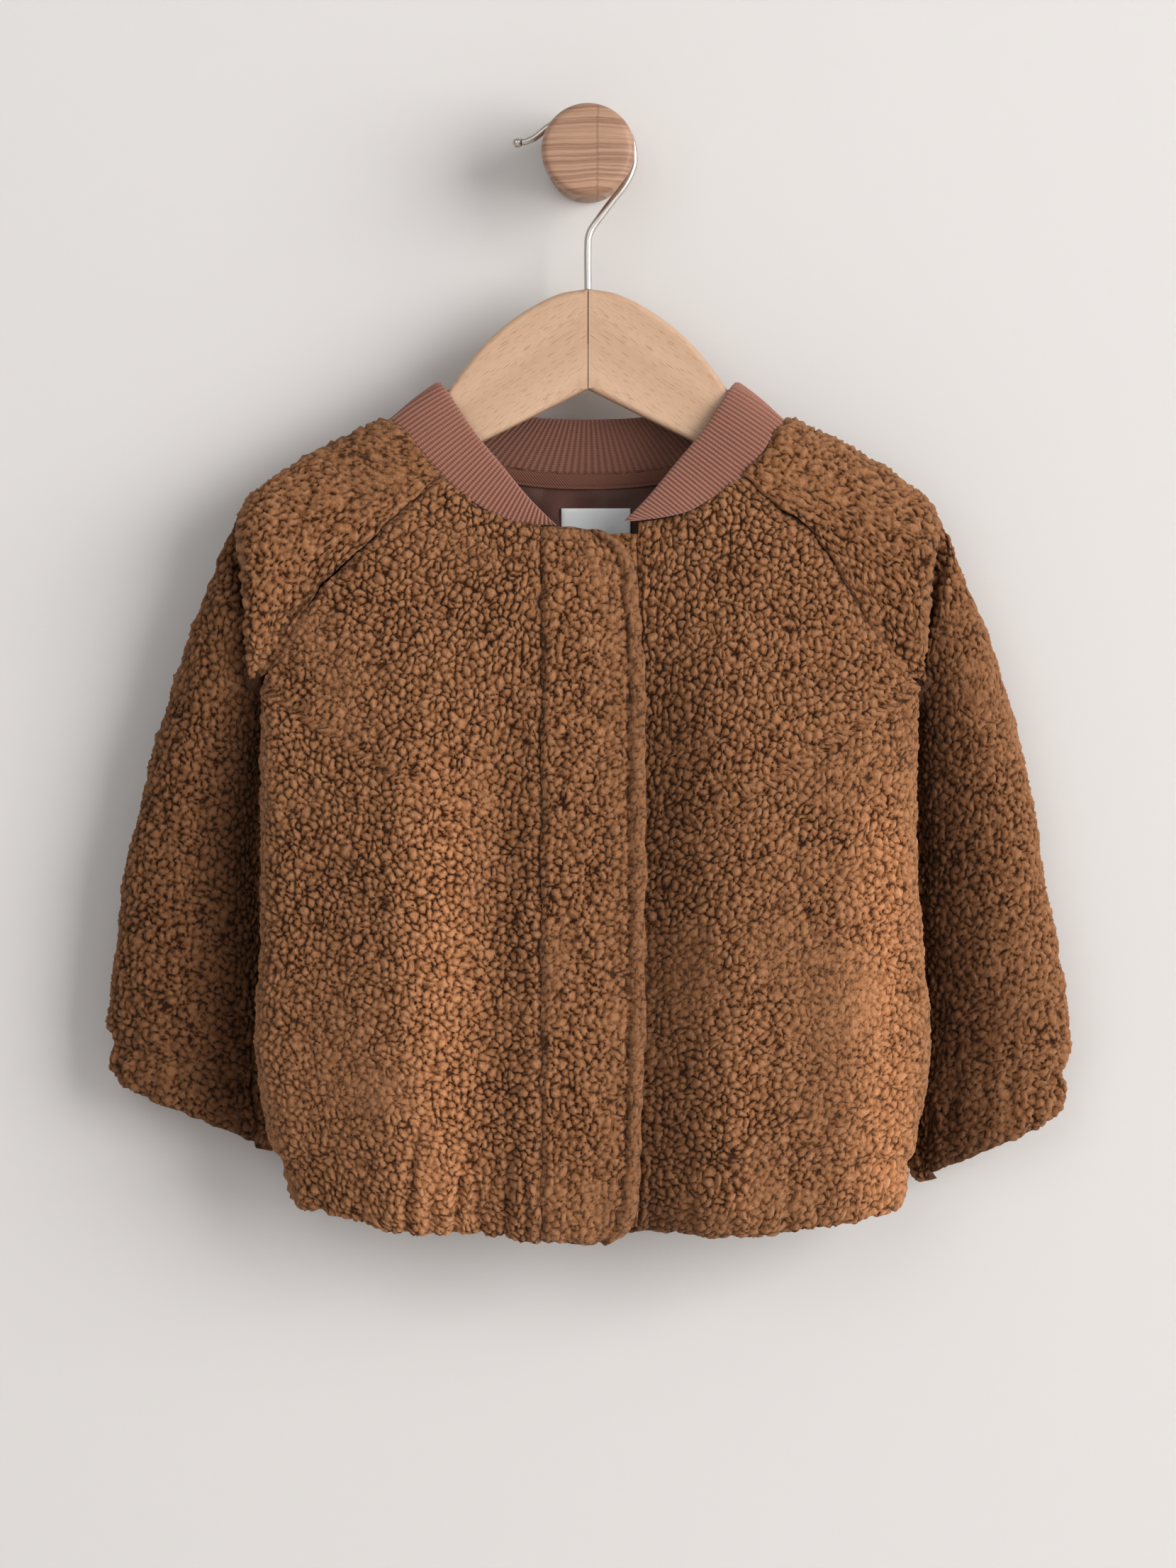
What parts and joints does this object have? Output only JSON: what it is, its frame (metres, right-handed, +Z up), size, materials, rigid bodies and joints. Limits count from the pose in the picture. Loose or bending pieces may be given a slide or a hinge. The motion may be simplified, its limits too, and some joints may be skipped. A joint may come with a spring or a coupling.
{
  "type": "fleece jacket on a wooden hanger and wall peg",
  "caption": "Small child's fleece bomber jacket with a rib neckband, hung on a wooden hanger by its wire hook on a round wall peg.",
  "frame": {"origin": "centre of the peg's flat back, on the wall", "axes": "+Z up, +Y into the wall, -Y out of the wall towards the viewer, +X to the viewer's right"},
  "size_m": [0.4305, 0.081, 0.5016],
  "materials": {
    "fleece": "curly pile",
    "rib": "rib knit",
    "tape": "twill",
    "lining": "matte jersey",
    "label": "satin weave",
    "beech": "satin varnish",
    "peg": "satin varnish",
    "wire": "satin nickel"
  },
  "bodies": {
    "root": {"back": "fleece", "front_left": "fleece", "front_right": "fleece", "placket": "fleece", "button_stand": "fleece", "sleeve_left": "fleece", "sleeve_right": "fleece", "neckband": "rib", "neck_tape": "tape", "back_lining": "lining", "label": "label", "hanger_arm_left": "beech", "hanger_arm_right": "beech", "hook": "wire", "wall_peg": "peg"}
  },
  "joints": []
}
